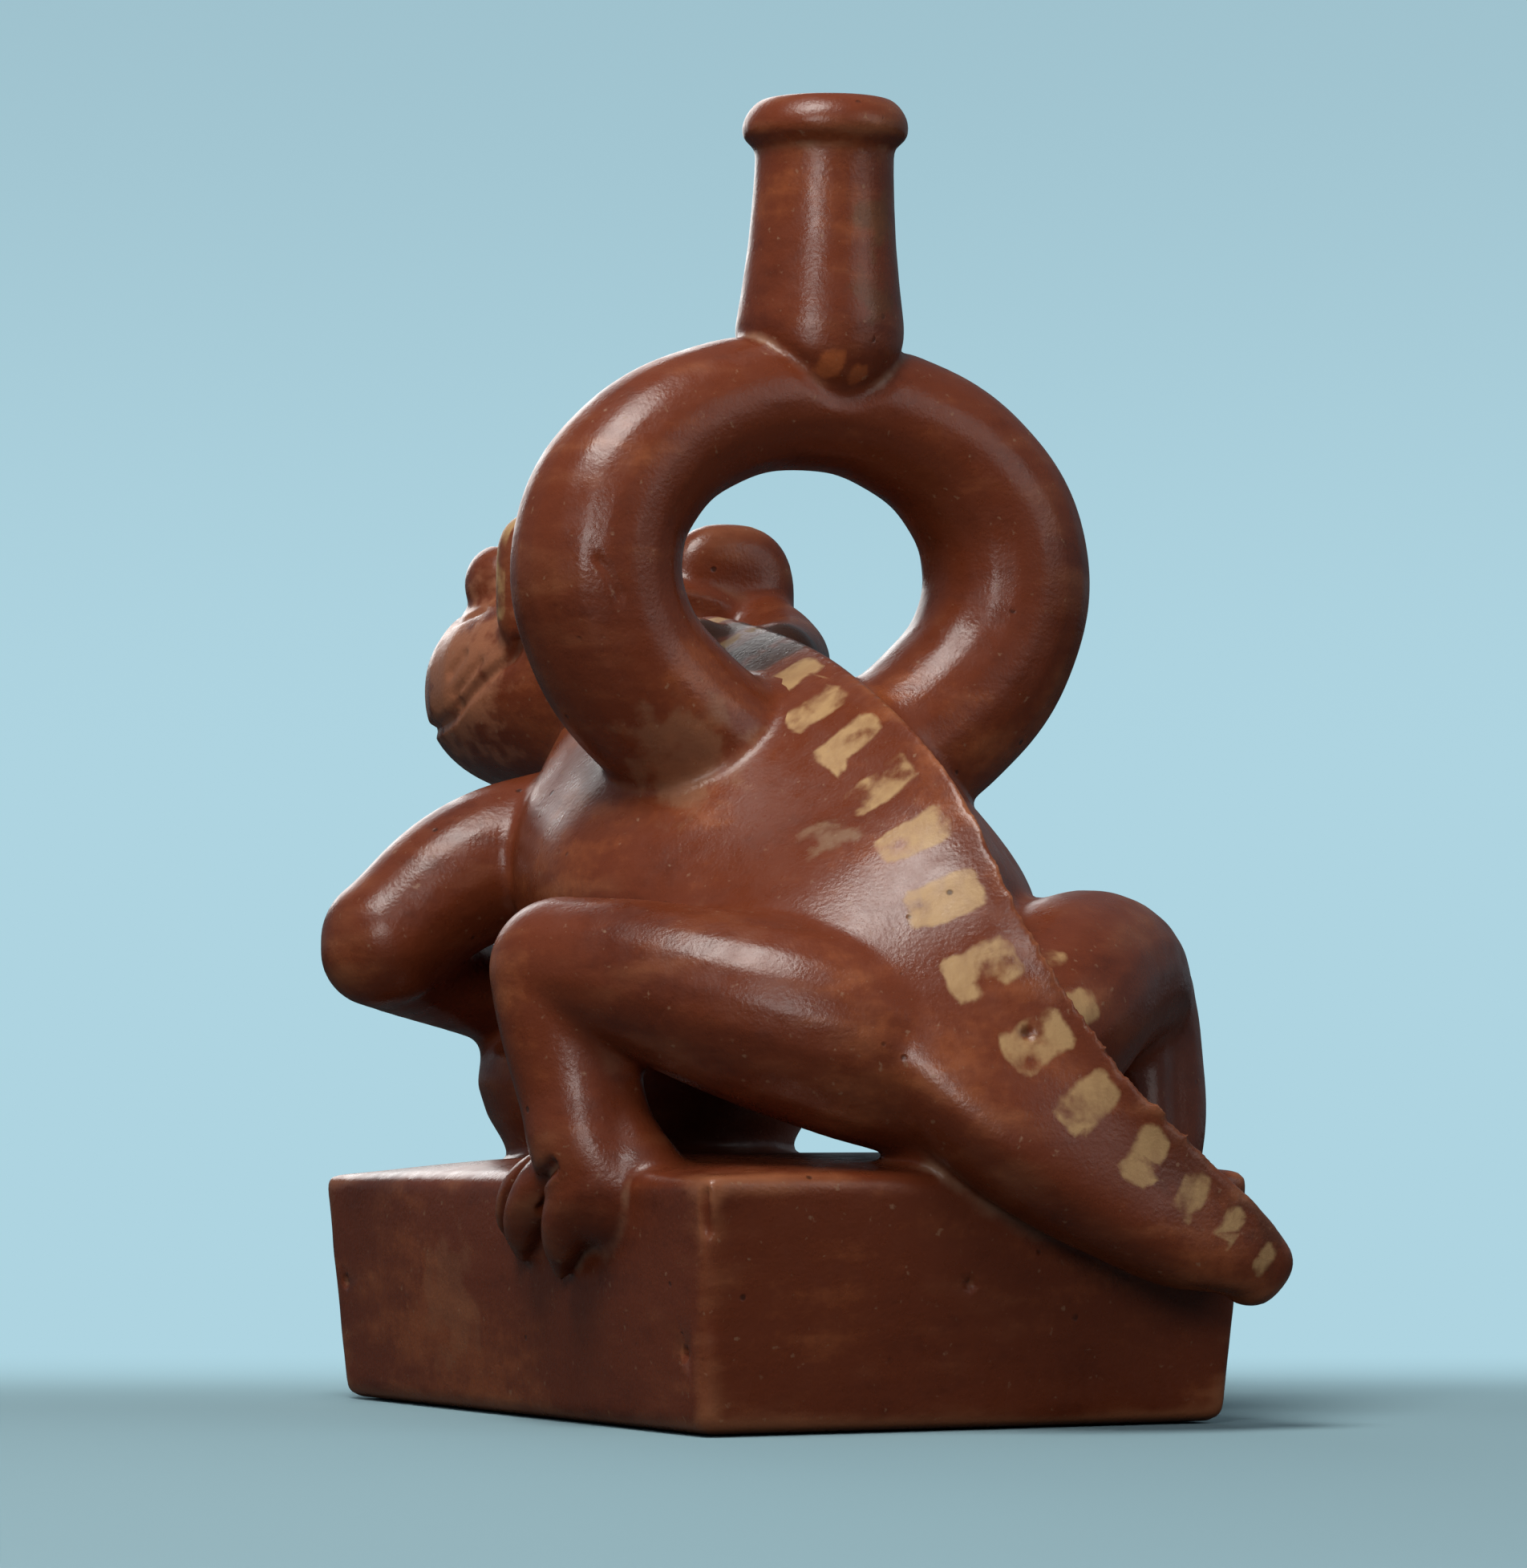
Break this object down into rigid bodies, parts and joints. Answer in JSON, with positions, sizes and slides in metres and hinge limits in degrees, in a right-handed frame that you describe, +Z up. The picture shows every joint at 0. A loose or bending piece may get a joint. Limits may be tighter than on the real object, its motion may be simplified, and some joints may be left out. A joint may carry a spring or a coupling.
{
  "type": "stirrup spout vessel",
  "caption": "Hollow stirrup spout vessel: a lizard crouching on a box-shaped foot, with a ring-shaped tube handle on its back and one upright spout.",
  "frame": {"origin": "centre of the flat underside of the box-shaped foot", "axes": "+Z up; the animal looks along -Y, its left side is +X, its tail hangs over the rear face at +Y"},
  "size_m": [0.1412, 0.2184, 0.2398],
  "materials": {
    "burnished_clay": "burnished red slip with cream and dark slip patches along the spine"
  },
  "bodies": {
    "root": {"vessel": "burnished_clay"}
  },
  "joints": []
}
